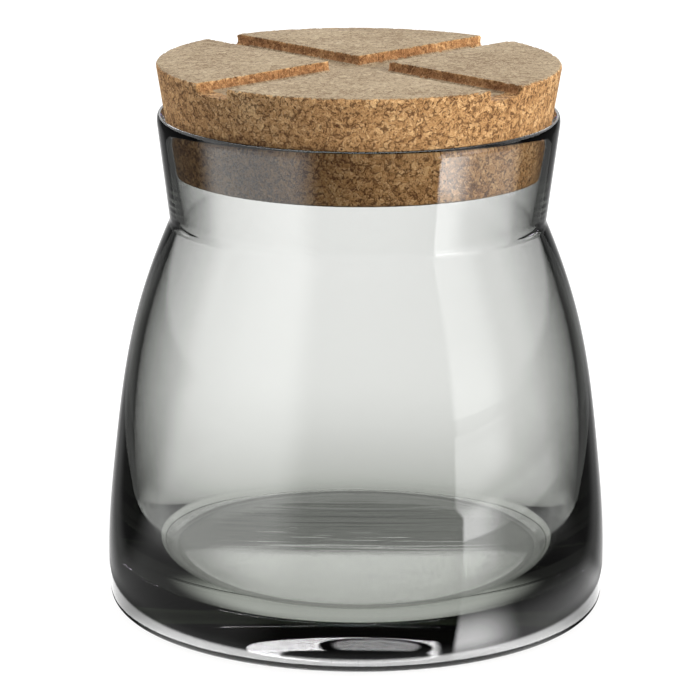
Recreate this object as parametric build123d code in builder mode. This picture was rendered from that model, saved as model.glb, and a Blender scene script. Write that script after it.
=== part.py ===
from build123d import *
from math import atan2, cos, degrees, radians, sin
import os

# Kitchen jar of smoke grey glass, with a one-piece cork lid that wedges in its neck.
# Millimetres, +Z up. The origin is on the table, under the middle of the jar.
# The view that the lid's grooves run across looks along +Y.

# Jar, outside
belly_radius = 72.9  # the widest place
belly_height = 15.0
waist_radius = 54.3
waist_height = 114.0
shoulder_angle = 23.6  # degrees from upright, where the shoulder meets the waist
neck_height = 31.3  # from the waist up to the top of the lip
neck_flare = 3.9  # how much the neck opens over that height
lip_height = 3.0  # the lip rounds off from this much below its crest
heel_draw = 0.8  # how much narrower the side is at the foot than at the widest place
heel_angle = 6.0  # degrees from upright, where the side leaves the foot

# Jar, wall thickness, measured level
rim_wall = 2.0
throat_wall = 3.2
shoulder_wall = 3.7
belly_wall = 6.7
floor_thickness = 11.0

# Jar, inside
throat_rise = 1.2  # the inner waist lies this much above the outer one
throat_angle = 19.0  # degrees from upright, just under the inner waist
corner_width = 14.2  # the sweep from the wall to the floor
corner_height = 27.0
corner_drop = 18.0  # how far the wall runs on down before it turns in
corner_reach = 10.0  # how far the floor runs on out before it turns up
floor_crown = 0.3

# Jar, rounds and underside
waist_round = 4.0
throat_round = 8.0
heel_round = 4.0
foot_width = 9.0
punt_depth = 1.0  # the hollow under the foot, which runs level both into it and at its middle

# Lid
lid_thickness = 31.0
lid_depth = 16.3  # how much of it stands below the top of the glass
lid_seat_clearance = 0.3  # to the glass at the lid's lower edge, where it wedges
lid_mouth_clearance = 0.4  # to the glass at the lip, before its round
lid_top_round = 0.6
lid_bottom_round = 0.8
groove_width = 12.0
groove_depth = 3.0
groove_angles = (45, -45)
groove_overrun = 5.0

# The body swells from the waist to the widest place through two points on the way.
flank_radius_share = 0.887
flank_height_share = 0.697
shoulder_radius_share = 0.559
shoulder_height_share = 0.303
# The lip's curves are pulled this far towards the square corners that they round off.
lip_pull_share = 0.55

# Outside, worked out
swell = belly_radius - waist_radius
body_height = waist_height - belly_height
flank_radius = waist_radius + swell * flank_radius_share
flank_height = waist_height - body_height * flank_height_share
shoulder_radius = waist_radius + swell * shoulder_radius_share
shoulder_height = waist_height - body_height * shoulder_height_share
rim_radius = waist_radius + neck_flare
jar_height = waist_height + neck_height
lip_start = jar_height - lip_height
lip_outer_radius = rim_radius - neck_flare * lip_height / neck_height
heel_radius = belly_radius - heel_draw
foot_radius = heel_radius - heel_round
punt_radius = foot_radius - foot_width

# Inside, worked out from the outside and its walls
mouth_radius = rim_radius - rim_wall
throat_radius = waist_radius - throat_wall
throat_height = waist_height + throat_rise
neck_slope = (mouth_radius - throat_radius) / (jar_height - throat_height)
lip_inner_radius = mouth_radius - lip_height * neck_slope
cavity_shoulder_radius = shoulder_radius - shoulder_wall
cavity_radius = belly_radius - belly_wall
cavity_widest_height = floor_thickness + corner_height
floor_radius = cavity_radius - corner_width

# The lid's cone, set by two places in the glass neck and carried on above the lip
lid_bottom = jar_height - lid_depth
seat_radius = throat_radius + (lid_bottom - throat_height) * neck_slope
lid_bottom_radius = seat_radius - lid_seat_clearance
lid_slope = (mouth_radius - lid_mouth_clearance - lid_bottom_radius) / lid_depth
lid_top_radius = lid_bottom_radius + lid_thickness * lid_slope
lid_top = lid_bottom + lid_thickness


def leaning(angle):
    """Gives the upward direction that leans towards the axis by an angle in degrees."""
    return (-sin(radians(angle)), cos(radians(angle)))


def pulled(point, corner):
    """Gives the place that lies a set share of the way from a point of the lip to a corner."""
    return point + (corner - point) * lip_pull_share


def ring_edge(part, radius, height):
    """Picks the round edge of a turned part that passes a radius and a height."""
    rings = part.edges().filter_by(GeomType.CIRCLE)
    return rings.sort_by_distance((radius, 0, height))[0]


# Glass jar: one turned section, from the hollow under the foot out, up and back inside
with BuildPart() as glass_jar:
    with BuildSketch(Plane.XZ) as jar_section:
        with BuildLine() as jar_outline:
            punt = Spline((0, punt_depth), (punt_radius, 0), tangents=[(1, 0), (1, 0)])
            foot = Line(punt @ 1, (heel_radius, 0))
            heel = Spline(foot @ 1, (belly_radius, belly_height), tangents=[leaning(-heel_angle), (0, 1)])
            body = Spline(
                heel @ 1,
                (flank_radius, flank_height),
                (shoulder_radius, shoulder_height),
                (waist_radius, waist_height),
                tangents=[(0, 1), leaning(shoulder_angle)],
            )
            neck = Line(body @ 1, (lip_outer_radius, lip_start))
            outer_corner = Vector(rim_radius, jar_height)
            inner_corner = Vector(mouth_radius, jar_height)
            crest = (outer_corner + inner_corner) / 2
            bore = Line((lip_inner_radius, lip_start), (throat_radius, throat_height))
            Bezier(neck @ 1, pulled(neck @ 1, outer_corner), pulled(crest, outer_corner), crest)
            Bezier(crest, pulled(crest, inner_corner), pulled(bore @ 0, inner_corner), bore @ 0)
            wall = Spline(
                bore @ 1,
                (cavity_shoulder_radius, shoulder_height),
                (cavity_radius, cavity_widest_height),
                tangents=[(sin(radians(throat_angle)), -cos(radians(throat_angle))), (0, -1)],
            )
            floor = Spline(
                (floor_radius, floor_thickness),
                (0, floor_thickness + floor_crown),
                tangents=[(-floor_radius, 2 * floor_crown), (-1, 0)],
            )
            floor_lead = (floor % 0) * corner_reach
            corner = Bezier(
                wall @ 1,
                (cavity_radius, cavity_widest_height - corner_drop),
                (floor @ 0) - floor_lead,
                floor @ 0,
            )
            axis_line = Line(floor @ 1, punt @ 0)
        make_face()
    revolve(axis=Axis.Z)
    fillet(ring_edge(glass_jar.part, waist_radius, waist_height), radius=waist_round)
    fillet(ring_edge(glass_jar.part, throat_radius, throat_height), radius=throat_round)
    fillet(ring_edge(glass_jar.part, heel_radius, 0), radius=heel_round)

# Cork lid: a turned, tapered disc with two milled grooves that cross on its top
with BuildPart() as cork_lid:
    with BuildSketch(Plane.XZ) as lid_section:
        with BuildLine():
            Polyline(
                (0, lid_bottom),
                (lid_bottom_radius, lid_bottom),
                (lid_top_radius, lid_top),
                (0, lid_top),
                close=True,
            )
        make_face()
    revolve(axis=Axis.Z)
    fillet(ring_edge(cork_lid.part, lid_top_radius, lid_top), radius=lid_top_round)
    fillet(ring_edge(cork_lid.part, lid_bottom_radius, lid_bottom), radius=lid_bottom_round)
    groove_length = 2 * (lid_top_radius + groove_overrun)
    with BuildSketch(Plane.XY.offset(lid_top)) as grooves:
        for angle in groove_angles:
            Rectangle(groove_length, groove_width, rotation=angle)
    extrude(amount=-groove_depth, mode=Mode.SUBTRACT)

glass_jar.part.label = "glass_jar"
cork_lid.part.label = "cork_lid"

os.makedirs("parts", exist_ok=True)
export_step(glass_jar.part, "parts/glass_jar.step")
export_step(cork_lid.part, "parts/cork_lid.step")

print(f"lid taper {degrees(atan2(lid_slope, 1)):.2f} degrees, top radius {lid_top_radius:.2f} mm")
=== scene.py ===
"""Glass storage jar with a cork lid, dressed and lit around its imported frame."""

import logging
import math
from dataclasses import dataclass, field
from enum import Enum
from functools import partial, reduce
from typing import Iterable, Sequence

import bmesh
import bpy
import numpy as np
from mathutils import Euler, Matrix, Vector


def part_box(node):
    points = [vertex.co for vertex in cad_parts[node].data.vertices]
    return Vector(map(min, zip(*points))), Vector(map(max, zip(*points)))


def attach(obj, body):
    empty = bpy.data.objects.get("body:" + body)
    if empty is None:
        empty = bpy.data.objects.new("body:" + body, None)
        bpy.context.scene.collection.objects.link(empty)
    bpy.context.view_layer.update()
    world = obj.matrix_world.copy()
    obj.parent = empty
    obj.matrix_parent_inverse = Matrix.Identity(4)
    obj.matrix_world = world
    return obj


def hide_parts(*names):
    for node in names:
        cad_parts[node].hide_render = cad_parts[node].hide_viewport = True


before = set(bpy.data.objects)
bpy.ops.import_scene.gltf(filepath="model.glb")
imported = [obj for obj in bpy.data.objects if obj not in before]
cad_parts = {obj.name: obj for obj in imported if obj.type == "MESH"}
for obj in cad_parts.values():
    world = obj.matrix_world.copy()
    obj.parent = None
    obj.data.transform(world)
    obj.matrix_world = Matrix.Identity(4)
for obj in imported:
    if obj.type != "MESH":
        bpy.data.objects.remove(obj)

MM = 0.001
LOG = logging.getLogger("jar")
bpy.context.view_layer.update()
WHITE = (1, 1, 1, 1)
Socket = bpy.types.NodeSocket
Piece = bpy.types.Object


class Slot(Enum):
    """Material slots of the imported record."""

    GLASS = "smoke_glass"
    CORK = "cork"


# Curves in the turning plane: every point is (radius, height).


def clamped_spline(points: Sequence[tuple], start: Sequence, end: Sequence, count: int) -> np.ndarray:
    """Runs a smooth cubic spline through points, spaced by their chords.

    Args:
        points: The places to pass.
        start: Direction at the first point.
        end: Direction at the last point.
        count: Number of points to return.

    Returns:
        Points along the spline.
    """
    places = np.array(points, float)
    gaps = np.linalg.norm(np.diff(places, axis=0), axis=1)
    size = len(places)
    system = np.eye(size)
    right = np.zeros((size, 2))
    right[0] = np.array(start) / np.linalg.norm(start)
    right[-1] = np.array(end) / np.linalg.norm(end)
    for i in range(1, size - 1):
        before, after = gaps[i - 1], gaps[i]
        system[i, i - 1 : i + 2] = (after, 2 * (before + after), before)
        rise_before = (places[i] - places[i - 1]) * after / before
        rise_after = (places[i + 1] - places[i]) * before / after
        right[i] = 3 * (rise_before + rise_after)
    slopes = np.linalg.solve(system, right)
    knots = np.concatenate([[0], np.cumsum(gaps)])
    spots = np.linspace(0, knots[-1], count)
    spans = np.clip(np.searchsorted(knots, spots, side="right") - 1, 0, size - 2)
    width = gaps[spans][:, None]
    t = ((spots - knots[spans]) / gaps[spans])[:, None]
    near, far = places[spans], places[spans + 1]
    lead, trail = slopes[spans] * width, slopes[spans + 1] * width
    return (
        (1 + 2 * t) * (1 - t) ** 2 * near
        + t * (1 - t) ** 2 * lead
        + t**2 * (3 - 2 * t) * far
        + t**2 * (t - 1) * trail
    )


def bezier(points: Sequence, count: int) -> np.ndarray:
    """Draws a cubic Bezier curve.

    Args:
        points: Its four control points.
        count: Number of points to return.

    Returns:
        Points along the curve.
    """
    a, b, c, d = (np.array(p, float) for p in points)
    t = np.linspace(0, 1, count)[:, None]
    return (1 - t) ** 3 * a + 3 * (1 - t) ** 2 * t * b + 3 * (1 - t) * t**2 * c + t**3 * d


def straight(start: Sequence, end: Sequence, count: int) -> np.ndarray:
    """Divides the straight line between two points evenly into a count of points."""
    t = np.linspace(0, 1, count)[:, None]
    return (1 - t) * np.array(start, float) + t * np.array(end, float)


def trim_end(line: np.ndarray, length: float) -> np.ndarray:
    """Cuts a length off the end of a line of points.

    Args:
        line: The points.
        length: How much to take away, measured along the line.

    Returns:
        The shortened line, which ends at the cut.
    """
    steps = np.linalg.norm(np.diff(line, axis=0), axis=1)
    left = np.cumsum(steps[::-1])[::-1]
    last = int(np.nonzero(left > length)[0][-1])
    share = (left[last] - length) / steps[last]
    cut = line[last] + share * (line[last + 1] - line[last])
    return np.vstack([line[: last + 1], cut])


def join_round(before: np.ndarray, after: np.ndarray, radius: float, count: int) -> np.ndarray:
    """Joins two lines that share an end by a round of a given radius.

    Args:
        before: Line that ends at the corner.
        after: Line that starts there.
        radius: Radius of the round.
        count: Number of points on the round.

    Returns:
        One line through both.
    """
    corner = before[-1]
    into = corner - before[-2]
    out = after[1] - corner
    turn = math.acos(np.clip(np.dot(into, out) / np.linalg.norm(into) / np.linalg.norm(out), -1, 1))
    reach = radius * math.tan(turn / 2)
    before = trim_end(before, reach)
    after = trim_end(after[::-1], reach)[::-1]
    pull = 4 / 3 * math.tan(turn / 4) / math.tan(turn / 2)
    first, last = before[-1], after[0]
    arc = bezier((first, first + pull * (corner - first), last + pull * (corner - last), last), count)
    return np.vstack([before[:-1], arc, after[1:]])


def leaning(degrees: float) -> tuple:
    """Gives the upward direction that leans towards the axis by an angle."""
    return (-math.sin(math.radians(degrees)), math.cos(math.radians(degrees)))


@dataclass(frozen=True)
class Fade:
    """A smooth change from a first to a last level along a range of a value."""

    start: float
    end: float
    first: float = 0.0
    last: float = 1.0


def angle_fade(start: float, end: float, first: float = 0.0, last: float = 1.0) -> Fade:
    """Makes a fade along an angle. It takes degrees and works on radians."""
    return Fade(math.radians(start), math.radians(end), first, last)


class Tree:
    """A node tree with short calls for adding and linking nodes."""

    def __init__(self, tree: bpy.types.NodeTree) -> None:
        """Keeps the tree to build in."""
        self.tree = tree

    def add(self, kind: str, inputs: dict | None = None, **settings: object) -> bpy.types.Node:
        """Adds a node.

        Args:
            kind: Blender's name of the node's type.
            inputs: Socket name or number to a value, or to an output socket to link.
            settings: Properties of the node.

        Returns:
            The new node.
        """
        node = self.tree.nodes.new(kind)
        for name, value in settings.items():
            setattr(node, name, value)
        for name, value in (inputs or {}).items():
            self.fill(node.inputs[name], value)
        return node

    def fill(self, socket: Socket, value: object) -> None:
        """Links an output socket to an input, or sets the input's value.

        Args:
            socket: The input.
            value: An output socket or a value.
        """
        if isinstance(value, bpy.types.NodeSocket):
            self.tree.links.new(value, socket)
        else:
            socket.default_value = value

    def math(self, operation: str, first: object, second: object = 0.0, clamp: bool = False) -> Socket:
        """Adds a Math node for two numbers or sockets. Clamped, its result stays between 0 and 1."""
        values = {0: first, 1: second}
        return self.add("ShaderNodeMath", values, operation=operation, use_clamp=clamp).outputs[0]

    def product(self, *values: object) -> Socket:
        """Multiplies numbers or sockets, in order."""
        return reduce(partial(self.math, "MULTIPLY"), values)

    def total(self, *values: object) -> Socket:
        """Adds numbers or sockets, in order."""
        return reduce(partial(self.math, "ADD"), values)

    def fade(self, value: Socket, *fades: Fade) -> Socket:
        """Multiplies the levels that fades give to a value.

        Args:
            value: The value that drives them.
            fades: The fades.

        Returns:
            The product's socket.
        """
        levels = []
        for fade in fades:
            ends = {"From Min": fade.start, "From Max": fade.end, "To Min": fade.first, "To Max": fade.last}
            node = self.add("ShaderNodeMapRange", {"Value": value, **ends}, interpolation_type="SMOOTHSTEP")
            levels.append(node.outputs["Result"])
        return self.product(*levels)

    def rest(self, share: Socket) -> Socket:
        """Gives what a share leaves of one."""
        return self.math("SUBTRACT", 1.0, share)

    def length(self, first: Socket, second: Socket) -> Socket:
        """Gives the length of a flat vector from its two coordinates."""
        return self.math("SQRT", self.total(self.product(first, first), self.product(second, second)))

    def swing(self, value: Socket, size: float) -> Socket:
        """Centres a value of 0 to 1 on zero and scales it."""
        return self.product(self.math("SUBTRACT", value, 0.5), size)

    def blend(self, share: object, first: object, second: object) -> Socket:
        """Blends two numbers by the second one's share."""
        return self.add("ShaderNodeMix", {"Factor": share, "A": first, "B": second}).outputs[0]

    def mix(self, share: object, first: object, second: object) -> Socket:
        """Mixes two colours.

        Args:
            share: How much of the second colour.
            first: A colour or a socket.
            second: A colour or a socket.

        Returns:
            The mixed colour's socket.
        """
        node = self.add("ShaderNodeMix", data_type="RGBA")
        for place, value in (("Factor", share), (6, first), (7, second)):
            self.fill(node.inputs[place], value)
        return node.outputs[2]

    def vector(self, operation: str, first: object, second: object) -> Socket:
        """Adds a Vector Math node. The second value is the scale where the sum is a scaling."""
        place = "Scale" if operation == "SCALE" else 1
        return self.add("ShaderNodeVectorMath", {0: first, place: second}, operation=operation).outputs[0]

    def split(self, vector: Socket) -> tuple:
        """Gives the three coordinates of a vector."""
        return tuple(self.add("ShaderNodeSeparateXYZ", {0: vector}).outputs)

    def noise(self, place: Socket, scale: object, detail: float, **more: float) -> Socket:
        """Adds a noise texture and gives its value."""
        values = {"Vector": place, "Scale": scale, "Detail": detail, **more}
        return self.add("ShaderNodeTexNoise", values).outputs[0]

    def bump(self, height: Socket, distance: float, under: Socket | None = None) -> Socket:
        """Adds a Bump node at full strength.

        Args:
            height: The height's socket.
            distance: Size of a height of one, in metres.
            under: The normal to start from, if any.

        Returns:
            The normal's socket.
        """
        node = self.add("ShaderNodeBump", {"Height": height, "Distance": distance, "Strength": 1.0})
        if under is not None:
            self.fill(node.inputs["Normal"], under)
        return node.outputs[0]


def blank_material(name: str) -> bpy.types.Material:
    """Makes a material with an empty node tree.

    Args:
        name: Its name.

    Returns:
        The material.
    """
    material = bpy.data.materials.new(name)
    material.use_nodes = True
    material.node_tree.nodes.clear()
    return material


def group_tree(name: str, kind: str, inputs: Iterable[tuple], outputs: Iterable[tuple]) -> tuple:
    """Makes an empty node group with named sockets.

    Args:
        name: The group's name.
        kind: ShaderNodeTree or GeometryNodeTree.
        inputs: Name, sort and default of each input, where the default may be None.
        outputs: Name and sort of each output.

    Returns:
        The Tree, its input node and its output node.
    """
    group = bpy.data.node_groups.new(name, kind)
    for label, sort, default in inputs:
        socket = group.interface.new_socket(label, in_out="INPUT", socket_type="NodeSocket" + sort)
        if default is not None:
            socket.default_value = default
    for label, sort in outputs:
        group.interface.new_socket(label, in_out="OUTPUT", socket_type="NodeSocket" + sort)
    tree = Tree(group)
    return tree, tree.add("NodeGroupInput"), tree.add("NodeGroupOutput")


def placed(name: str, data: bpy.types.ID) -> Piece:
    """Makes an object and links it to the scene.

    Args:
        name: Its name.
        data: Its mesh, camera or light.

    Returns:
        The object.
    """
    item = bpy.data.objects.new(name, data)
    bpy.context.scene.collection.objects.link(item)
    return item


def shape_by_tree(name: str, mesh: bpy.types.Mesh, group: bpy.types.NodeTree, values: dict) -> Piece:
    """Runs a Geometry Nodes tree on a mesh and keeps the result as a plain mesh.

    Args:
        name: Name of the finished piece.
        mesh: What the tree works on.
        group: The tree.
        values: Input name to value.

    Returns:
        The finished object, with no modifier left.
    """
    maker = placed(name + "_maker", mesh)
    modifier = maker.modifiers.new("shape", "NODES")
    modifier.node_group = group
    sockets = {item.name: item.identifier for item in group.interface.items_tree if item.in_out == "INPUT"}
    for label, value in values.items():
        modifier[sockets[label]] = value
    result = finished_mesh(maker)
    result.name = name
    return placed(name, result)


def finished_mesh(maker: Piece) -> bpy.types.Mesh:
    """Keeps what an object's modifiers make of it and removes the object.

    Args:
        maker: The object.

    Returns:
        The finished mesh.
    """
    graph = bpy.context.evaluated_depsgraph_get()
    mesh = bpy.data.meshes.new_from_object(maker.evaluated_get(graph))
    bpy.data.objects.remove(maker)
    return mesh


@dataclass(frozen=True)
class SmokeGlass:
    """Polished, smoke grey soda glass, slightly green where it is thick, with a painted shade that darkens
    its colour where it is seen aslant. Sizes are metres.
    """

    index: float = 1.52
    smoke: tuple = (0.955, 0.956, 0.954, 1.0)
    # Painted edge shade: the colour the glass darkens to where it is seen aslant, on top of the inside's
    # absorption.
    painted_edge_shade: tuple = (0.36, 0.364, 0.358, 1.0)
    aslant: Fade = Fade(0.06, 0.85)
    tint: tuple = (0.19, 0.238, 0.147, 1.0)
    tint_per_metre: float = 37.0
    wave_per_metre: float = 22.0
    wave_height: float = 0.00004
    wave_rise: Fade = Fade(0.02, 0.05)
    ripples_along: float = 16.0
    ripples_across: float = 230.0
    ripple_height: float = 0.0002
    ripple_reach: Fade = Fade(0.044, 0.052, 1.0, 0.0)
    ripple_back: Fade = Fade(-0.012, 0.012)
    ripple_heights: tuple = (Fade(0.008, 0.009), Fade(0.0125, 0.0135, 1.0, 0.0))

    def build(self) -> bpy.types.Material:
        """Builds the material, a glass with an absorbing inside and a painted edge shade in its colour.

        Returns:
            The material.
        """
        material = blank_material("smoke_glass")
        tree = Tree(material.node_tree)
        place = tree.add("ShaderNodeTexCoord").outputs["Object"]
        x, y, z = tree.split(place)
        wave = tree.noise(place, self.wave_per_metre, 1.0)
        waves = tree.bump(tree.product(wave, tree.fade(z, self.wave_rise)), self.wave_height)
        # Painted edge shade: the glass's colour darkens where it is seen aslant.
        facing = tree.add("ShaderNodeLayerWeight", {"Blend": 0.5}).outputs["Facing"]
        shader = tree.add(
            "ShaderNodeBsdfPrincipled",
            {
                "Base Color": tree.mix(tree.fade(facing, self.aslant), self.smoke, self.painted_edge_shade),
                "Roughness": 0.0,
                "IOR": self.index,
                "Transmission Weight": 1.0,
                "Normal": tree.bump(self.ripples(tree, x, y, z), self.ripple_height, waves),
            },
        )
        inside = tree.add("ShaderNodeVolumeAbsorption", {"Color": self.tint, "Density": self.tint_per_metre})
        tree.add("ShaderNodeOutputMaterial", {"Surface": shader.outputs[0], "Volume": inside.outputs[0]})
        return material

    def ripples(self, tree: Tree, x: Socket, y: Socket, z: Socket) -> Socket:
        """Draws the drawn-out ripples of the inner floor, in its back half.

        A ray meets them from the air alone, so reflections inside the base stay calm.

        Args:
            tree: The material's tree.
            x: First coordinate of the place.
            y: Second coordinate of the place.
            z: Height of the place.

        Returns:
            The height's socket.
        """
        along, across = tree.product(x, self.ripples_along), tree.product(y, self.ripples_across)
        stretched = tree.add("ShaderNodeCombineXYZ", {0: along, 1: across}).outputs[0]
        from_air = tree.rest(tree.add("ShaderNodeNewGeometry").outputs["Backfacing"])
        return tree.product(
            tree.noise(stretched, 1.0, 2.0),
            tree.fade(tree.length(x, y), self.ripple_reach),
            tree.fade(y, self.ripple_back),
            tree.fade(z, *self.ripple_heights),
            from_air,
        )


@dataclass(frozen=True)
class CorkGrain:
    """The pattern of pressed cork: granules of two sizes, binder lines and dark specks.

    Finenesses are multiples of the granules' own, which each finish gives.
    """

    wander: float = 0.0032
    small_finer: float = 2.3
    grain_finer: float = 4.2
    gate_finer: float = 1.6
    speck_finer: float = 2.6
    cloud_per_metre: float = 45.0
    large_or_small: Fade = Fade(0.35, 0.65)
    granule_swing: float = 0.38
    grain_swing: float = 1.35
    cloud_swing: float = 0.6
    dark_to_middle: Fade = Fade(0.0, 0.5)
    middle_to_light: Fade = Fade(0.45, 1.0)
    large_line: Fade = Fade(0.05, 0.13, 1.2, 0.0)
    large_line_gate: Fade = Fade(0.47, 0.55)
    small_line: Fade = Fade(0.03, 0.14, 1.0, 0.0)
    small_line_gate: Fade = Fade(0.60, 0.80)
    line_strength: float = 0.6
    speck_reach: Fade = Fade(0.72, 1.0, 0.0, 0.42)
    speck_edge: float = 9.0
    granule_height: float = 0.5
    hole_depth: float = 0.9
    roughness: Fade = Fade(0.0, 1.0, 0.92, 0.72)

    def group(self) -> bpy.types.NodeTree:
        """Builds the shader group.

        Returns:
            The group. It puts out a colour, a height and a roughness.
        """
        tree, given, result = group_tree(
            "CorkGrain",
            "ShaderNodeTree",
            [
                ("Light", "Color", (0.6, 0.4, 0.2, 1)),
                ("Middle", "Color", (0.45, 0.27, 0.12, 1)),
                ("Dark", "Color", (0.16, 0.08, 0.035, 1)),
                ("Granules per metre", "Float", 420.0),
                ("Contrast", "Float", 1.0),
                ("Specks", "Float", 1.0),
            ],
            [("Color", "Color"), ("Height", "Float"), ("Roughness", "Float")],
        )
        dark = given.outputs["Dark"]
        place = tree.add("ShaderNodeTexCoord").outputs["Object"]
        fineness = given.outputs["Granules per metre"]
        values = {"Vector": place, "Scale": fineness, "Detail": 3.0}
        push = tree.add("ShaderNodeTexNoise", values).outputs["Color"]
        push = tree.vector("SCALE", tree.vector("SUBTRACT", push, (0.5, 0.5, 0.5)), self.wander)
        spot = tree.vector("ADD", place, push)

        large = self.cells(tree, spot, fineness)
        small = self.cells(tree, spot, tree.product(fineness, self.small_finer))
        large_tone, small_tone = self.tones(tree, large), self.tones(tree, small)
        granules = tree.blend(tree.fade(large_tone[1], self.large_or_small), large_tone[0], small_tone[0])
        grain = tree.noise(spot, tree.product(fineness, self.grain_finer), 3.0, Roughness=0.6)
        cloud = tree.noise(place, self.cloud_per_metre, 2.0)
        swings = tree.total(
            tree.swing(granules, self.granule_swing),
            tree.swing(grain, self.grain_swing),
            tree.swing(cloud, self.cloud_swing),
        )
        lightness = tree.math("ADD", tree.product(swings, given.outputs["Contrast"]), 0.5, clamp=True)
        low = tree.mix(tree.fade(lightness, self.dark_to_middle), dark, given.outputs["Middle"])
        body = tree.mix(tree.fade(lightness, self.middle_to_light), low, given.outputs["Light"])

        lines = self.lines(tree, place, spot, fineness, small_tone[1])
        dark_share = tree.math("MAXIMUM", lines, self.holes(tree, spot, fineness))
        specks = tree.math("MULTIPLY", dark_share, given.outputs["Specks"], clamp=True)
        raised, sunk = tree.product(lightness, self.granule_height), tree.product(dark_share, self.hole_depth)
        tree.fill(result.inputs["Color"], tree.mix(specks, body, dark))
        tree.fill(result.inputs["Height"], tree.math("SUBTRACT", raised, sunk))
        tree.fill(result.inputs["Roughness"], tree.fade(lightness, self.roughness))
        return tree.tree

    def cells(self, tree: Tree, spot: Socket, scale: Socket, feature: str = "F1") -> bpy.types.Node:
        """Adds a pattern of cells, at the place that is pushed about."""
        return tree.add("ShaderNodeTexVoronoi", {"Vector": spot, "Scale": scale}, feature=feature)

    def tones(self, tree: Tree, cells: bpy.types.Node) -> tuple:
        """Gives three random tones for each cell."""
        return tuple(tree.add("ShaderNodeSeparateColor", {0: cells.outputs["Color"]}).outputs)

    def lines(self, tree: Tree, place: Socket, spot: Socket, fineness: Socket, chance: Socket) -> Socket:
        """Draws the binder lines between granules, broken here and there.

        Args:
            tree: The group's tree.
            place: The place.
            spot: The place, pushed about.
            fineness: The granules' fineness.
            chance: Random tone that picks the small granules that have a line.

        Returns:
            The lines' socket.
        """
        large = self.cells(tree, spot, fineness, "DISTANCE_TO_EDGE").outputs["Distance"]
        small_scale = tree.product(fineness, self.small_finer)
        small = self.cells(tree, spot, small_scale, "DISTANCE_TO_EDGE").outputs["Distance"]
        gate = tree.noise(place, tree.product(fineness, self.gate_finer), 2.0)
        large_line = tree.product(tree.fade(large, self.large_line), tree.fade(gate, self.large_line_gate))
        small_line = tree.product(tree.fade(small, self.small_line), tree.fade(chance, self.small_line_gate))
        return tree.product(tree.math("MAXIMUM", large_line, small_line), self.line_strength)

    def holes(self, tree: Tree, spot: Socket, fineness: Socket) -> Socket:
        """Draws the dark specks, small holes in the cork.

        Args:
            tree: The group's tree.
            spot: The place, pushed about.
            fineness: The granules' fineness.

        Returns:
            The specks' socket.
        """
        speck = self.cells(tree, spot, tree.product(fineness, self.speck_finer))
        reach = tree.fade(self.tones(tree, speck)[0], self.speck_reach)
        inside = tree.math("SUBTRACT", reach, speck.outputs["Distance"])
        return tree.math("MULTIPLY", inside, self.speck_edge, clamp=True)


@dataclass(frozen=True)
class CorkFinish:
    """One surface of the pressed cork: the top, the turned side or the milled groove walls. The top's paler,
    greyer colour is partly sanding dust and partly a painted sheen.
    """

    name: str
    light: tuple
    middle: tuple
    dark: tuple
    contrast: float
    specks: float
    relief: float
    granules_per_metre: float = 480.0
    shine: float = 0.3

    def build(self, group: bpy.types.NodeTree) -> bpy.types.Material:
        """Builds the material.

        Args:
            group: The cork grain group.

        Returns:
            The material.
        """
        material = blank_material(self.name)
        tree = Tree(material.node_tree)
        grain = tree.add("ShaderNodeGroup", node_tree=group)
        given = {
            "Light": self.light,
            "Middle": self.middle,
            "Dark": self.dark,
            "Granules per metre": self.granules_per_metre,
            "Contrast": self.contrast,
            "Specks": self.specks,
        }
        for label, value in given.items():
            tree.fill(grain.inputs[label], value)
        shader = tree.add(
            "ShaderNodeBsdfPrincipled",
            {
                "Base Color": grain.outputs["Color"],
                "Roughness": grain.outputs["Roughness"],
                "Specular IOR Level": self.shine,
                "Normal": tree.bump(grain.outputs["Height"], self.relief),
            },
        )
        tree.add("ShaderNodeOutputMaterial", {"Surface": shader.outputs[0]})
        return material


def lathe_group() -> bpy.types.NodeTree:
    """Builds the Geometry Nodes tree that turns a section about the Z axis.

    Returns:
        The tree. Its geometry input is the section, a line of vertices in the XZ plane.
    """
    tree, given, result = group_tree(
        "TurnSection",
        "GeometryNodeTree",
        [
            ("Section", "Geometry", None),
            ("Segments", "Int", 64),
            ("Weld distance", "Float", 0.000001),
            ("Material", "Material", None),
        ],
        [("Geometry", "Geometry")],
    )
    section = given.outputs["Section"]
    rings = tree.add("GeometryNodeAttributeDomainSize", {0: section}).outputs["Point Count"]
    around = tree.math("ADD", given.outputs["Segments"], 1.0)
    grid = tree.add("GeometryNodeMeshGrid", {"Vertices X": rings, "Vertices Y": around})
    index = tree.add("GeometryNodeInputIndex").outputs[0]
    ring = tree.math("FLOOR", tree.math("DIVIDE", tree.math("ADD", index, 0.5), around))
    step = tree.math("SUBTRACT", index, tree.product(ring, around))
    sample = tree.add("GeometryNodeSampleIndex", data_type="FLOAT_VECTOR", domain="POINT")
    tree.fill(sample.inputs["Geometry"], section)
    tree.fill(sample.inputs["Value"], tree.add("GeometryNodeInputPosition").outputs[0])
    tree.fill(sample.inputs["Index"], ring)
    radius, _, height = tree.split(sample.outputs[0])
    turn = tree.product(tree.math("DIVIDE", step, given.outputs["Segments"]), math.tau)
    x = tree.product(radius, tree.math("COSINE", turn))
    y = tree.product(radius, tree.math("SINE", turn))
    target = tree.add("ShaderNodeCombineXYZ", {0: x, 1: y, 2: height}).outputs[0]
    moved = tree.add("GeometryNodeSetPosition", {"Geometry": grid.outputs["Mesh"], "Position": target})
    weld = {"Geometry": moved.outputs[0], "Distance": given.outputs["Weld distance"]}
    welded = tree.add("GeometryNodeMergeByDistance", weld)
    smooth = tree.add("GeometryNodeSetShadeSmooth", {"Geometry": welded.outputs[0], "Shade Smooth": True})
    real = tree.add("GeometryNodeRealizeInstances", {0: smooth.outputs[0]})
    dress = {"Geometry": real.outputs[0], "Material": given.outputs["Material"]}
    tree.fill(result.inputs["Geometry"], tree.add("GeometryNodeSetMaterial", dress).outputs[0])
    return tree.tree


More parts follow.
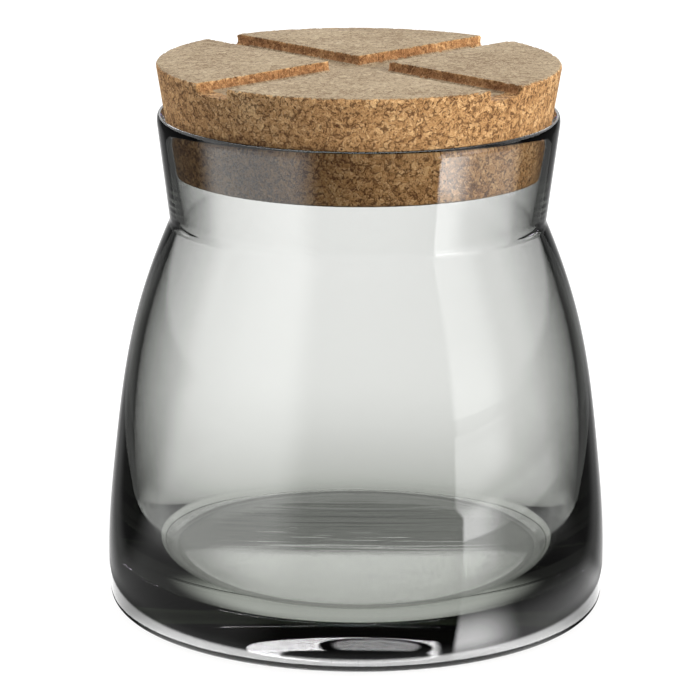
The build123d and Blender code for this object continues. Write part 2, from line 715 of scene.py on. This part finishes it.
@dataclass(frozen=True)
class SectionPoints:
    """How many points each stretch of the jar's section has."""

    punt: int = 24
    foot: int = 4
    heel_round: int = 10
    heel: int = 14
    body: int = 60
    waist_round: int = 9
    neck: int = 12
    lip: int = 10
    bore: int = 12
    throat_round: int = 14
    wall: int = 50
    corner: int = 30
    floor: int = 14


@dataclass
class GlassJar:
    """The jar: one turned piece of glass. Sizes are millimetres, from the table up."""

    belly_radius: float = 72.9
    belly_height: float = 15.0
    waist_radius: float = 54.3
    waist_height: float = 114.0
    shoulder_angle: float = 23.6
    neck_height: float = 31.3
    neck_flare: float = 3.9
    heel_draw: float = 0.8
    heel_angle: float = 6.0
    rim_wall: float = 2.0
    throat_wall: float = 3.2
    shoulder_wall: float = 3.7
    belly_wall: float = 6.7
    floor_thickness: float = 11.0
    throat_rise: float = 1.2
    throat_angle: float = 19.0
    corner_width: float = 14.2
    corner_height: float = 27.0
    corner_drop: float = 18.0
    corner_reach: float = 10.0
    floor_crown: float = 0.3
    waist_round: float = 4.0
    throat_round: float = 8.0
    heel_round: float = 4.0
    foot_width: float = 9.0
    punt_depth: float = 1.0
    flank_radius_share: float = 0.887
    flank_height_share: float = 0.697
    shoulder_radius_share: float = 0.559
    shoulder_height_share: float = 0.303
    lip_height: float = 3.0
    round_pull_share: float = 0.55
    segments: int = 288
    points: SectionPoints = SectionPoints()
    finish: SmokeGlass = field(default_factory=SmokeGlass)

    def outside(self) -> np.ndarray:
        """Draws the outside, from the hollow under the foot up to the start of the lip.

        Returns:
            Points (radius, height) in millimetres.
        """
        heel_radius = self.belly_radius - self.heel_draw
        foot_inner = heel_radius - self.heel_round - self.foot_width
        belly = (self.belly_radius, self.belly_height)
        waist = (self.waist_radius, self.waist_height)
        flank = self.between(self.flank_radius_share, self.flank_height_share)
        shoulder = self.between(self.shoulder_radius_share, self.shoulder_height_share)
        punt = clamped_spline([(0, self.punt_depth), (foot_inner, 0)], (1, 0), (1, 0), self.points.punt)
        foot = straight((foot_inner, 0), (heel_radius, 0), self.points.foot)
        heel = clamped_spline([(heel_radius, 0), belly], leaning(-self.heel_angle), (0, 1), self.points.heel)
        way = leaning(self.shoulder_angle)
        body = clamped_spline([belly, flank, shoulder, waist], (0, 1), way, self.points.body)
        neck = straight(waist, self.lip_ends()[0], self.points.neck)
        line = join_round(np.vstack([punt, foot[1:]]), heel, self.heel_round, self.points.heel_round)
        return join_round(np.vstack([line, body[1:]]), neck, self.waist_round, self.points.waist_round)

    def between(self, radius_share: float, height_share: float) -> tuple:
        """Gives an outer place between waist and belly, by its shares of the way out and down."""
        out, down = self.belly_radius - self.waist_radius, self.waist_height - self.belly_height
        return (self.waist_radius + out * radius_share, self.waist_height - down * height_share)

    def throat(self) -> tuple:
        """Gives the narrowest place inside."""
        return (self.waist_radius - self.throat_wall, self.waist_height + self.throat_rise)

    def rim(self) -> tuple:
        """Gives the square corners that the lip rounds off, the outer one first."""
        outer = np.array((self.waist_radius + self.neck_flare, self.waist_height + self.neck_height))
        return outer, outer - np.array((self.rim_wall, 0))

    def lip_ends(self) -> tuple:
        """Gives the places where the lip starts outside and ends inside.

        Returns:
            The outer and the inner place.
        """
        outer, inner = self.rim()
        waist, throat = np.array((self.waist_radius, self.waist_height)), np.array(self.throat())
        start = outer + (waist - outer) * self.lip_height / self.neck_height
        return start, inner + (throat - inner) * self.lip_height / (inner[1] - throat[1])

    def lip(self) -> np.ndarray:
        """Draws the lip, from outside over its crest to the inside.

        Returns:
            Points (radius, height) in millimetres.
        """
        (outer, inner), (start, end) = self.rim(), self.lip_ends()
        crest, pull = (outer + inner) / 2, self.round_pull_share
        out = (start, start + pull * (outer - start), crest + pull * (outer - crest), crest)
        back = (crest, crest + pull * (inner - crest), end + pull * (inner - end), end)
        return np.vstack([bezier(out, self.points.lip), bezier(back, self.points.lip)[1:]])

    def inside(self) -> tuple:
        """Draws the inside, from the lip down.

        Returns:
            Points (radius, height) in millimetres, of the neck's bore and of all below the throat.
        """
        shoulder = self.between(self.shoulder_radius_share, self.shoulder_height_share)
        inward = leaning(self.throat_angle)
        cavity_radius = self.belly_radius - self.belly_wall
        widest = (cavity_radius, self.floor_thickness + self.corner_height)
        edge = np.array((cavity_radius - self.corner_width, self.floor_thickness))
        bore = straight(self.lip_ends()[1], self.throat(), self.points.bore)
        wall = clamped_spline(
            [self.throat(), (shoulder[0] - self.shoulder_wall, shoulder[1]), widest],
            (-inward[0], -inward[1]),
            (0, -1),
            self.points.wall,
        )
        lead = np.array((-edge[0], 2 * self.floor_crown))
        middle = (0, self.floor_thickness + self.floor_crown)
        floor = clamped_spline([tuple(edge), middle], lead, (-1, 0), self.points.floor)
        reach = lead / np.linalg.norm(lead) * self.corner_reach
        sweep = (widest, (cavity_radius, widest[1] - self.corner_drop), edge - reach, edge)
        return bore, np.vstack([wall, bezier(sweep, self.points.corner)[1:], floor[1:]])

    def section(self) -> np.ndarray:
        """Draws the closed section, from the hollow under the foot out, up and back inside.

        Returns:
            Points (radius, height) in metres, which start and end on the axis.
        """
        bore, below = self.inside()
        line = np.vstack([self.outside(), self.lip()[1:], bore[1:]])
        return join_round(line, below, self.throat_round, self.points.throat_round) * MM

    def build(self) -> Piece:
        """Turns the section into the jar and dresses it.

        Returns:
            The jar.
        """
        points = self.section()
        mesh = bpy.data.meshes.new("jar_section")
        edges = [(i, i + 1) for i in range(len(points) - 1)]
        mesh.from_pydata([(r, 0, z) for r, z in points], edges, [])
        values = {"Segments": self.segments, "Material": self.finish.build()}
        jar = shape_by_tree("jar_glass", mesh, lathe_group(), values)
        point_outwards(jar.data)
        jar.visible_shadow = False
        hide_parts("glass_jar")
        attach(jar, "jar")
        return jar


def point_outwards(mesh: bpy.types.Mesh) -> None:
    """Turns every face of a closed mesh outwards.

    Args:
        mesh: The mesh.
    """
    work = bmesh.new()
    work.from_mesh(mesh)
    bmesh.ops.recalc_face_normals(work, faces=work.faces)
    work.to_mesh(mesh)
    work.free()


@dataclass(frozen=True)
class CorkRelief:
    """The pits and chipped edges of the cork, and where each finish lies. Sizes are metres."""

    chip_fineness: float = 420.0
    chip_share: Fade = Fade(0.5, 0.72)
    pit_fineness: float = 700.0
    pit_share: Fade = Fade(0.6, 0.78)
    dust_fineness: float = 1500.0
    dust_share: float = 0.25
    groove_slack: float = 0.0005
    groove_start: float = 0.0006
    groove_floor: float = 0.0045
    rim_margin: float = 0.0014
    level_from: float = 0.72

    def group(self) -> bpy.types.NodeTree:
        """Builds the Geometry Nodes tree that works on a smooth solid with its grooves along X and Y.

        Returns:
            The tree. It turns the grooves to their place at the end.
        """
        tree, given, result = group_tree(
            "CorkRelief",
            "GeometryNodeTree",
            [
                ("Geometry", "Geometry", None),
                ("Top", "Float", 0.16),
                ("Groove half width", "Float", 0.006),
                ("Rim radius", "Float", 0.058),
                ("Pit depth", "Float", 0.0003),
                ("Chip depth", "Float", 0.0006),
                ("Chip reach", "Float", 0.0011),
                ("Groove turn", "Float", 0.785),
                ("Groove end", "Float", 0.006),
                ("Seed", "Float", 3.0),
                ("Sanded and sheen", "Material", None),
                ("Turned", "Material", None),
                ("Milled", "Material", None),
            ],
            [("Geometry", "Geometry")],
        )
        place = tree.add("GeometryNodeInputPosition").outputs[0]
        normal = tree.add("GeometryNodeInputNormal").outputs[0]
        offset = tree.vector("SCALE", normal, self.inward(tree, given, place))
        moved = tree.add("GeometryNodeSetPosition", {"Geometry": given.outputs["Geometry"], "Offset": offset})
        angle = tree.add("ShaderNodeCombineXYZ", {2: given.outputs["Groove turn"]}).outputs[0]
        turned = tree.add("GeometryNodeTransform", {"Geometry": moved.outputs[0], "Rotation": angle})
        smooth = tree.add("GeometryNodeSetShadeSmooth", {"Geometry": turned.outputs[0], "Shade Smooth": True})
        real = tree.add("GeometryNodeRealizeInstances", {0: smooth.outputs[0]})
        walls, level = self.milled_and_level(tree, given, place, normal)
        dressed = real.outputs[0]
        # The level faces take the top's finish, whose paler colour is partly a painted sheen.
        for label, selection in (("Turned", True), ("Milled", walls), ("Sanded and sheen", level)):
            dress = {"Geometry": dressed, "Selection": selection, "Material": given.outputs[label]}
            dressed = tree.add("GeometryNodeSetMaterial", dress).outputs[0]
        tree.fill(result.inputs["Geometry"], dressed)
        return tree.tree

    def inward(self, tree: Tree, given: bpy.types.Node, place: Socket) -> Socket:
        """Works out how far each place moves, which is never outwards.

        Args:
            tree: The tree to build in.
            given: The group's input node.
            place: The place, with the grooves along X and Y.

        Returns:
            The move along the normal.
        """
        x, y, z = tree.split(place)

        def noise(scale: float, detail: float) -> Socket:
            """Adds a noise that the seed shifts."""
            values = {"Vector": place, "W": given.outputs["Seed"], "Scale": scale, "Detail": detail}
            return tree.add("ShaderNodeTexNoise", values, noise_dimensions="4D").outputs[0]

        def closeness(value: Socket, edge: Socket) -> Socket:
            """Gives 1 at an edge and 0 past the chips' reach."""
            distance = tree.math("ABSOLUTE", tree.math("SUBTRACT", value, edge))
            share = tree.math("DIVIDE", distance, given.outputs["Chip reach"])
            return tree.math("SUBTRACT", 1.0, share, clamp=True)

        half, rim = given.outputs["Groove half width"], given.outputs["Rim radius"]
        near_groove = tree.math(
            "MAXIMUM",
            closeness(tree.math("ABSOLUTE", x), half),
            closeness(tree.math("ABSOLUTE", y), half),
        )
        near_side = tree.math("MAXIMUM", near_groove, closeness(tree.length(x, y), rim))
        near_edge = tree.product(closeness(z, given.outputs["Top"]), near_side)
        chips = tree.fade(noise(self.chip_fineness, 3.0), self.chip_share)
        pits = tree.fade(noise(self.pit_fineness, 2.0), self.pit_share)
        depth = tree.total(
            tree.product(chips, near_edge, given.outputs["Chip depth"]),
            tree.product(pits, given.outputs["Pit depth"]),
            tree.product(noise(self.dust_fineness, 2.0), given.outputs["Pit depth"], self.dust_share),
        )
        return tree.product(depth, -1.0)

    def milled_and_level(self, tree: Tree, given: bpy.types.Node, place: Socket, normal: Socket) -> tuple:
        """Finds the groove's walls and the level faces.

        The outer ends of the grooves' floor are left out, so they show the side's finish.

        Args:
            tree: The tree to build in.
            given: The group's input node.
            place: The finished place.
            normal: The finished normal.

        Returns:
            The selections of the milled faces and of the level faces, which take the top's colour with its
            dust and painted sheen.
        """
        x, y, z = tree.split(place)
        top, rim = given.outputs["Top"], given.outputs["Rim radius"]
        back = tree.product(given.outputs["Groove turn"], -1.0)
        unturn = {"Vector": place, "Angle": back}
        across = tree.split(tree.add("ShaderNodeVectorRotate", unturn, rotation_type="Z_AXIS").outputs[0])
        nearest = tree.math("MINIMUM", tree.math("ABSOLUTE", across[0]), tree.math("ABSOLUTE", across[1]))
        radius, reach = tree.length(x, y), tree.total(given.outputs["Groove half width"], self.groove_slack)
        groove = tree.product(
            tree.math("LESS_THAN", nearest, reach),
            tree.math("LESS_THAN", z, tree.math("SUBTRACT", top, self.groove_start)),
            tree.math("GREATER_THAN", z, tree.math("SUBTRACT", top, self.groove_floor)),
        )
        inner = tree.math("LESS_THAN", radius, tree.math("SUBTRACT", rim, self.rim_margin))
        outer = tree.math("GREATER_THAN", radius, tree.math("SUBTRACT", rim, given.outputs["Groove end"]))
        level = tree.math("GREATER_THAN", tree.math("ABSOLUTE", tree.split(normal)[2]), self.level_from)
        walls = tree.product(groove, inner, tree.rest(level))
        return walls, tree.product(level, tree.rest(tree.product(groove, outer)))


@dataclass
class CorkLid:
    """The lid: one tapered disc of pressed cork with two milled grooves. Sizes are metres."""

    groove_width: float = 0.012
    groove_turn: float = math.radians(45)
    groove_end: float = 0.006
    voxel: float = 0.00062
    weld: float = 0.00001
    pit_depth: float = 0.00028
    chip_depth: float = 0.0007
    chip_reach: float = 0.0012
    seed: float = 3.0
    grain: CorkGrain = CorkGrain()
    relief: CorkRelief = CorkRelief()
    # The top: paler and greyer than the sides, partly sanding dust and partly a painted sheen of grazing
    # light.
    sanded_and_sheen: CorkFinish = CorkFinish(
        "cork_sanded_and_sheen",
        light=(0.47, 0.375, 0.245, 1),
        middle=(0.33, 0.257, 0.163, 1),
        dark=(0.145, 0.088, 0.048, 1),
        contrast=1.1,
        specks=0.9,
        relief=0.00008,
    )
    turned: CorkFinish = CorkFinish(
        "cork_turned",
        light=(0.70, 0.47, 0.24, 1),
        middle=(0.42, 0.236, 0.099, 1),
        dark=(0.075, 0.03, 0.012, 1),
        contrast=1.15,
        specks=1.1,
        relief=0.0001,
    )
    milled: CorkFinish = CorkFinish(
        "cork_milled",
        light=(0.60, 0.37, 0.175, 1),
        middle=(0.33, 0.165, 0.07, 1),
        dark=(0.10, 0.042, 0.018, 1),
        contrast=1.15,
        specks=0.7,
        relief=0.00008,
    )

    def blank(self) -> bpy.types.Mesh:
        """Copies the lid's CAD solid, turns its grooves to X and Y and gives it an even fine mesh.

        Returns:
            The mesh.
        """
        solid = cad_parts["cork_lid"].data.copy()
        work = bmesh.new()
        work.from_mesh(solid)
        bmesh.ops.remove_doubles(work, verts=work.verts, dist=self.weld)
        work.transform(Matrix.Rotation(-self.groove_turn, 4, "Z"))
        work.to_mesh(solid)
        work.free()
        maker = placed("lid_maker", solid)
        remesh = maker.modifiers.new("even", "REMESH")
        remesh.mode = "VOXEL"
        remesh.voxel_size = self.voxel
        remesh.use_smooth_shade = True
        return finished_mesh(maker)

    def build(self) -> Piece:
        """Shapes the lid and dresses it.

        Returns:
            The lid.
        """
        low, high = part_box("cork_lid")
        group = self.grain.group()
        values = {
            "Top": high[2],
            "Rim radius": (high[0] - low[0]) / 2,
            "Groove half width": self.groove_width / 2,
            "Pit depth": self.pit_depth,
            "Chip depth": self.chip_depth,
            "Chip reach": self.chip_reach,
            "Groove turn": self.groove_turn,
            "Groove end": self.groove_end,
            "Seed": self.seed,
            "Sanded and sheen": self.sanded_and_sheen.build(group),
            "Turned": self.turned.build(group),
            "Milled": self.milled.build(group),
        }
        lid = shape_by_tree("lid_cork", self.blank(), self.relief.group(), values)
        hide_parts("cork_lid")
        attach(lid, "lid")
        return lid


# The studio: the glass shows a dark room and table with bright windows, the camera a white one.
# The dark table and the windows' light on it, as reflected rays see them, are painted into the floor's glow.


class LightTree(Tree):
    """The tree of a light that depends on place or direction and on what a ray has met."""

    def __init__(self, tree: bpy.types.NodeTree, coordinates: str) -> None:
        """Adds the coordinates, the angles about the jar and the tests on rays.

        Args:
            tree: The tree to build in.
            coordinates: Which of Blender's coordinates give the place or direction.
        """
        super().__init__(tree)
        self.x, self.y, self.z = self.split(self.add("ShaderNodeTexCoord").outputs[coordinates])
        forward = self.product(self.y, -1.0)
        self.from_left = self.math("ARCTAN2", self.product(self.x, -1.0), forward)
        self.from_right = self.math("ARCTAN2", self.x, forward)
        path = self.add("ShaderNodeLightPath")
        self.bounces, self.surfaces = path.outputs["Glossy Depth"], path.outputs["Transmission Depth"]
        self.scattered, self.seen = path.outputs["Is Diffuse Ray"], path.outputs["Is Camera Ray"]
        self.mirrored = self.more_than(self.bounces, 0)
        self.on_skin = self.at_most(self.surfaces, 0)
        self.front_wall = self.at_most(self.surfaces, 2)

    def more_than(self, depth: Socket, count: int) -> Socket:
        """Gives 1 where a depth is more than a count."""
        return self.math("GREATER_THAN", depth, count + 0.5)

    def at_most(self, depth: Socket, count: int) -> Socket:
        """Gives 1 where a depth is a count or less."""
        return self.math("LESS_THAN", depth, count + 0.5)


LEFT_WALL = (angle_fade(20, 38), angle_fade(85, 103, 1.0, 0.0))
RIGHT_LAST = angle_fade(92, 106, 1.0, 0.0)
RIGHT_WINDOW = (angle_fade(47, 50), angle_fade(66, 84, 1.0, 0.2), RIGHT_LAST)


@dataclass(frozen=True)
class LightTable:
    """The pale floor, which glows, with painted shade about and under the jar and painted light for reflected
    rays. Distances are metres from the jar's axis.
    """

    size: float = 14.0
    colour: tuple = (0.12, 0.12, 0.12, 1)
    bounce: float = 0.3
    # Painted shade: the glow is lower under the jar and rises away from it.
    under: float = 0.6
    under_edge: Fade = Fade(0.064, 0.072)
    near: Fade = Fade(0.070, 0.22, 0.86, 1.09)
    # Painted light and shade for reflected rays: a dark table with a front glow, a left glow, a bright ring,
    # side glows, a lane and a pool of light painted on it.
    dim: float = 0.035
    front: Fade = Fade(0.03, 0.055, 0.035, 0.85)
    front_edge: Fade = Fade(0.074, 0.09)
    left_reach: Fade = Fade(0.15, 0.26, 0.3, 1.5)
    ring: tuple = (Fade(0.0735, 0.0745), Fade(0.080, 0.0825, 11.0, 0.0))
    ring_round: Fade = angle_fade(35, 75, 1.0, 0.15)
    sides: tuple = (Fade(0.088, 0.096), Fade(0.122, 0.15, 1.6, 0.0))
    sides_round: tuple = (angle_fade(66, 78), angle_fade(94, 106, 1.0, 0.0))
    lane_half: float = 0.088
    lane_spread: float = 0.22
    lane_soft: float = 0.03
    lane_softening: float = 0.3
    lane_edge: Fade = Fade(-0.4, 0.4, 0.6, 0.16)
    lane_tail: Fade = Fade(0.4, 1.1, 0.0, -0.15)
    lane_start: Fade = Fade(-0.01, 0.02)
    pool_side: float = math.radians(50)
    pool_bend: float = math.radians(2.1)
    pool_bend_least: float = 0.01
    pool_bend_far: Fade = Fade(0.44, 0.52, 0.0, math.radians(3.5))
    pool_soft: Fade = angle_fade(0, 2)
    pool_tail: Fade = Fade(0.18, 0.28, 0.08, 0.18)
    pool_near: Fade = angle_fade(6, 24)
    pool_far: Fade = angle_fade(19, 37, 1.0, 0.2)
    pool_widens: Fade = Fade(0.4, 0.75)
    pool_light: tuple = (
        Fade(0.085, 0.13, 12.0, 0.6),
        Fade(0.15, 0.30, 0.0, 3.2),
        Fade(0.326, 0.345, 0.0, 5.2),
        Fade(0.43, 0.52, 0.0, -5.4),
        Fade(0.8, 2.5, 0.0, -1.0),
    )

    def build(self) -> Piece:
        """Lays the floor, which is white light with a painted soft shade about and under the jar.

        Reflected rays see its mirror light alone, with no dull part.

        Returns:
            The floor.
        """
        half = self.size / 2
        corners = [(-half, -half, 0), (half, -half, 0), (half, half, 0), (-half, half, 0)]
        mesh = bpy.data.meshes.new("floor")
        mesh.from_pydata(corners, [], [(0, 1, 2, 3)])
        floor = placed("floor", mesh)
        material = blank_material("pale_floor")
        tree = LightTree(material.node_tree, "Object")
        away = tree.length(tree.x, tree.y)
        # The glow with its painted shade under and about the jar.
        lit = tree.blend(tree.fade(away, self.under_edge), self.under, tree.fade(away, self.near))
        glow = tree.blend(tree.mirrored, lit, self.mirror_light(tree, away))
        strength = tree.blend(tree.scattered, glow, self.bounce)
        shine = tree.add("ShaderNodeEmission", {"Color": WHITE, "Strength": strength}).outputs[0]
        dull = tree.add("ShaderNodeBsdfDiffuse", {"Color": self.colour}).outputs[0]
        both = tree.add("ShaderNodeAddShader", {0: shine, 1: dull}).outputs[0]
        shown = tree.add("ShaderNodeMixShader", {0: tree.mirrored, 1: both, 2: shine}).outputs[0]
        tree.add("ShaderNodeOutputMaterial", {"Surface": shown})
        mesh.materials.append(material)
        return floor

    def mirror_light(self, tree: LightTree, away: Socket) -> Socket:
        """Gives the light that reflected rays see, all painted: a dark table with the windows' light painted
        on it.

        Args:
            tree: The tree to build in.
            away: Distance from the jar's axis.

        Returns:
            The light's socket.
        """
        forward = tree.product(tree.y, -1.0)
        aside = tree.math("ARCTAN2", tree.math("ABSOLUTE", tree.x), forward)
        left = tree.fade(tree.from_left, *LEFT_WALL)
        sides = tree.product(tree.fade(aside, *self.sides_round), tree.fade(away, *self.sides))
        # Painted bright ring round the foot, which the outer skin reflects.
        ring = tree.product(tree.fade(away, *self.ring), tree.fade(aside, self.ring_round), tree.on_skin)
        far = tree.total(
            tree.product(left, tree.fade(away, self.left_reach), tree.front_wall),
            tree.product(self.right_pool(tree, away), tree.on_skin),
            self.pale_lane(tree),
            tree.product(sides, tree.math("SUBTRACT", tree.front_wall, tree.on_skin)),
            self.dim,
        )
        near = tree.fade(forward, self.front)
        return tree.total(tree.blend(tree.fade(away, self.front_edge), near, far), ring)

    def pale_lane(self, tree: LightTree) -> Socket:
        """Gives the painted light of the pale lane behind the jar, which widens as it goes.

        Args:
            tree: The tree to build in.

        Returns:
            The light's socket.
        """
        side = tree.total(self.lane_half, tree.product(tree.y, self.lane_spread))
        soft = tree.total(self.lane_soft, tree.product(tree.y, self.lane_softening))
        beyond = tree.math("SUBTRACT", tree.math("ABSOLUTE", tree.x), side)
        past = tree.math("DIVIDE", beyond, tree.math("MAXIMUM", soft, self.lane_soft))
        light = tree.total(tree.fade(past, self.lane_edge), tree.fade(past, self.lane_tail))
        return tree.product(light, tree.fade(tree.y, self.lane_start))

    def right_pool(self, tree: LightTree, away: Socket) -> Socket:
        """Gives the pool of light painted on the table for the window on the right, with one hard side.

        Args:
            tree: The tree to build in.
            away: Distance from the jar's axis.

        Returns:
            The light's socket.
        """
        bend = tree.math("DIVIDE", self.pool_bend, tree.math("MAXIMUM", away, self.pool_bend_least))
        bend = tree.total(bend, tree.fade(away, self.pool_bend_far))
        past = tree.total(tree.math("SUBTRACT", tree.from_right, self.pool_side), bend)
        near = tree.blend(tree.fade(past, self.pool_near), 1.0, tree.fade(away, self.pool_tail))
        width = tree.blend(tree.fade(away, self.pool_widens), near, tree.fade(past, self.pool_far))
        light = tree.total(*(tree.fade(away, fade) for fade in self.pool_light))
        ends = tree.product(tree.fade(past, self.pool_soft), tree.fade(tree.from_right, RIGHT_LAST))
        return tree.product(ends, width, light)


@dataclass(frozen=True)
class Room:
    """The room about the jar: dark low down, with windows behind and on the right and a pale wall.

    Fades without an angle work on the height of a direction, which is the sine of its elevation.
    """

    ceiling: Fade = Fade(0.45, 0.85, 0.015, 0.45)
    camera_light: float = 1.1
    front_to_back: Fade = Fade(-0.2, 0.2)
    front_high: Fade = Fade(0.57, 0.66, 0.0, 2.5)
    back_low: tuple = (Fade(0.03, 0.08), Fade(0.7, 0.8, 1.2, 0.0))
    left_light: float = 1.3
    left_scattered: float = 0.35
    left_top: Fade = Fade(0.6, 0.95, 1.0, 0.0)
    right_levels: tuple = (Fade(0.0, 0.3, 1.9, 1.1), Fade(0.5, 0.7, 1.0, 0.0))
    pane_light: float = 3.6
    pane_scattered: float = 1.6
    pane_width: tuple = (angle_fade(-48, -38), angle_fade(38, 48, 1.0, 0.0))
    pane_sill: Fade = Fade(0.325, 0.355)
    pane_top: Fade = Fade(0.60, 0.72, 1.0, 0.0)
    pane_aside: Fade = angle_fade(6, 14, 1.0, 0.45)
    most_bounces: int = 6
    deep_width: tuple = (angle_fade(-15, -12), angle_fade(24, 26, 1.0, 0.0))
    deep_light: Fade = Fade(0.372, 0.384, 0.0, 110.0)
    deep_colour: tuple = (1.0, 0.766, 1.27, 1)
    oval_turn: float = math.radians(3.5)
    oval_half_width: float = math.radians(9.5)
    oval_height: float = 0.405
    oval_half_height: float = 0.062
    oval_edge: Fade = Fade(0.9, 1.1, 1.0, 0.0)
    oval_middle: Fade = Fade(0.4, 0.65, 0.22, 0.0)

    def build(self) -> None:
        """Paints the room."""
        world = bpy.data.worlds.new("room")
        world.use_nodes = True
        world.node_tree.nodes.clear()
        tree = LightTree(world.node_tree, "Generated")
        few = tree.at_most(tree.bounces, self.most_bounces)
        deep = tree.product(tree.more_than(tree.bounces, 1), few, tree.front_wall)
        back = tree.blend(deep, self.pane(tree, few), self.deep_pane(tree))
        light = tree.total(
            tree.fade(tree.z, self.ceiling),
            self.skin_light(tree),
            self.side_light(tree),
            tree.product(back, tree.fade(tree.z, self.pane_top)),
        )
        shown = tree.math("MAXIMUM", light, tree.product(tree.seen, self.camera_light))
        colour = tree.mix(deep, WHITE, self.deep_colour)
        background = tree.add("ShaderNodeBackground", {"Color": colour, "Strength": shown})
        tree.add("ShaderNodeOutputWorld", {0: background.outputs[0]})
        bpy.context.scene.world = world

    def skin_light(self, tree: LightTree) -> Socket:
        """Gives the light that the jar's outer skin shows, high in front and low behind.

        Args:
            tree: The tree to build in.

        Returns:
            The light's socket.
        """
        front, back = tree.fade(tree.z, self.front_high), tree.fade(tree.z, *self.back_low)
        light = tree.blend(tree.fade(tree.y, self.front_to_back), front, back)
        return tree.product(tree.on_skin, tree.rest(tree.scattered), light)

    def side_light(self, tree: LightTree) -> Socket:
        """Gives the light of the pale wall on the left and of the tall window on the right.

        Args:
            tree: The tree to build in.

        Returns:
            The light's socket.
        """
        left = tree.product(
            tree.fade(tree.from_left, *LEFT_WALL),
            tree.fade(tree.z, self.left_top),
            tree.blend(tree.scattered, self.left_light, self.left_scattered),
        )
        right = tree.product(
            tree.fade(tree.from_right, *RIGHT_WINDOW),
            tree.rest(tree.scattered),
            tree.fade(tree.z, *self.right_levels),
        )
        return tree.product(tree.total(left, right), tree.math("MAXIMUM", tree.front_wall, tree.scattered))

    def pane(self, tree: LightTree, few: Socket) -> Socket:
        """Gives the light of the window behind.

        Args:
            tree: The tree to build in.
            few: 1 for a ray with few reflections.

        Returns:
            The light's socket.
        """
        behind = tree.math("ARCTAN2", tree.x, tree.y)
        aside = tree.fade(tree.math("ABSOLUTE", behind), self.pane_aside)
        return tree.product(
            tree.fade(behind, *self.pane_width),
            few,
            tree.blend(tree.more_than(tree.surfaces, 2), 1.0, aside),
            tree.fade(tree.z, self.pane_sill),
            tree.blend(tree.scattered, self.pane_light, self.pane_scattered),
        )

    def deep_pane(self, tree: LightTree) -> Socket:
        """Gives the narrow, strong window that rays deep in the base see, with an oval ring in it.

        Args:
            tree: The tree to build in.

        Returns:
            The light's socket.
        """
        behind = tree.math("ARCTAN2", tree.x, tree.y)
        across = tree.math("DIVIDE", tree.total(behind, self.oval_turn), self.oval_half_width)
        up = tree.math("DIVIDE", tree.math("SUBTRACT", tree.z, self.oval_height), self.oval_half_height)
        out = tree.total(tree.product(across, across), tree.product(up, up))
        oval = tree.math("SUBTRACT", tree.fade(out, self.oval_edge), tree.fade(out, self.oval_middle))
        wide = tree.fade(behind, *self.deep_width)
        return tree.product(wide, tree.rest(oval), tree.fade(tree.z, self.deep_light))


@dataclass(frozen=True)
class Viewpoint:
    """Where the photograph's camera stood. Sizes are metres and degrees."""

    distance: float = 1.015
    height: float = 0.3416
    pitch: float = 14.74
    roll: float = 0.33
    yaw: float = 0.118
    focal_pixels: float = 3594.0
    frame_pixels: float = 700.0
    sensor: float = 0.036
    nearest: float = 0.05

    def build(self) -> Piece:
        """Sets up the camera.

        Returns:
            The camera.
        """
        data = bpy.data.cameras.new("camera")
        data.sensor_width = self.sensor / MM
        data.lens = self.focal_pixels / self.frame_pixels * data.sensor_width
        data.clip_start = self.nearest
        camera = placed("camera", data)
        tilt = Euler((math.radians(90 - self.pitch), 0, math.radians(self.yaw))).to_matrix().to_4x4()
        roll = Matrix.Rotation(math.radians(self.roll), 4, "Z")
        camera.matrix_world = Matrix.Translation((0, -self.distance, self.height)) @ tilt @ roll
        bpy.context.scene.camera = camera
        return camera


@dataclass(frozen=True)
class Softbox:
    """A soft rectangular light that faces a point."""

    name: str
    place: tuple
    aim: tuple
    width: float
    height: float
    radiance: float
    colour: tuple = (1.0, 1.0, 1.0)

    def build(self) -> Piece:
        """Hangs the light and turns it to its aim.

        Returns:
            The light.
        """
        data = bpy.data.lights.new(self.name, "AREA")
        data.shape = "RECTANGLE"
        data.size = self.width
        data.size_y = self.height
        data.energy = self.radiance * self.width * self.height * math.pi
        data.color = self.colour
        light = placed(self.name, data)
        light.location = self.place
        light.rotation_euler = (Vector(self.aim) - Vector(self.place)).to_track_quat("-Z", "Y").to_euler()
        light.visible_camera = False
        light.visible_transmission = False
        light.visible_glossy = False
        return light


@dataclass(frozen=True)
class Studio:
    """The camera, the light table, the room and the soft lights."""

    viewpoint: Viewpoint = Viewpoint()
    table: LightTable = LightTable()
    room: Room = Room()
    boxes: tuple = (
        Softbox("overhead", (0.1, -0.2, 1.5), (0.0, 0.0, 0.1), 1.6, 1.6, 0.8),
        Softbox("right_key", (0.84, -0.5, 0.45), (0.0, 0.0, 0.14), 0.6, 0.6, 13.5, (1.0, 0.95, 0.89)),
        Softbox("left_fill", (-0.8, 0.5, 0.33), (0.0, 0.0, 0.14), 0.6, 0.6, 6.0),
    )
    bounces: int = 24

    def build(self) -> None:
        """Builds the whole studio."""
        for item in (self.viewpoint, self.table, self.room, *self.boxes):
            item.build()
        scene = bpy.context.scene
        scene.view_settings.view_transform = "Standard"
        scene.cycles.use_denoising = True
        scene.cycles.max_bounces = self.bounces
        scene.cycles.transmission_bounces = self.bounces
        scene.cycles.glossy_bounces = self.bounces
        scene.cycles.caustics_refractive = False
        scene.cycles.caustics_reflective = False


def main() -> None:
    """Builds the studio and the pieces in order and reports each piece."""
    logging.basicConfig(level=logging.INFO, format="%(name)s: %(message)s")
    Studio().build()
    for part in (GlassJar(), CorkLid()):
        piece = part.build()
        LOG.info("%s: %d faces", piece.name, len(piece.data.polygons))


if __name__ == "__main__":
    main()
